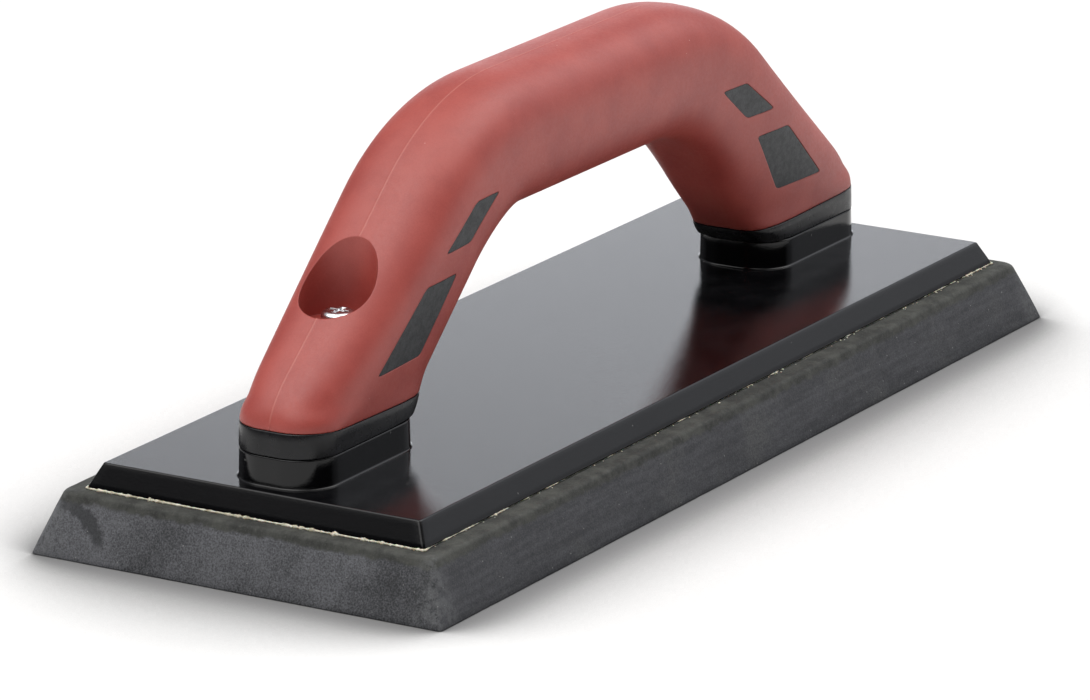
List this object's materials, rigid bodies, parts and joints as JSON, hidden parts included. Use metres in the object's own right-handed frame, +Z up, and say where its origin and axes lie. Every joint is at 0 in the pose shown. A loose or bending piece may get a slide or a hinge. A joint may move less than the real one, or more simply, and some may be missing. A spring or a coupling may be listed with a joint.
{
  "type": "grout float",
  "caption": "Hand grout float: bevelled gum-rubber pad on a cast plate with two bosses and a soft-gripped bridge handle held by two screws.",
  "frame": {"origin": "middle of the rubber pad's flat working face", "axes": "+X along the float towards its rear end, +Y across it, +Z up from the working face towards the handle"},
  "size_m": [0.2666, 0.1016, 0.0897],
  "materials": {
    "gum_rubber": "matte, dusty charcoal with darker smears",
    "adhesive": "dried cream bead",
    "black_enamel": "gloss black enamel on cast aluminium",
    "black_plastic": "satin moulded polypropylene",
    "red_elastomer": "satin brick-red soft grip",
    "zinc_steel": "bright zinc"
  },
  "bodies": {
    "root": {"rubber_pad": "gum_rubber", "adhesive_layer": "adhesive", "backing_plate": "black_enamel", "handle_core": "black_plastic", "grip_overmold": "red_elastomer", "front_screw": "zinc_steel", "rear_screw": "zinc_steel", "front_lock_washer": "zinc_steel", "rear_lock_washer": "zinc_steel"}
  },
  "joints": []
}
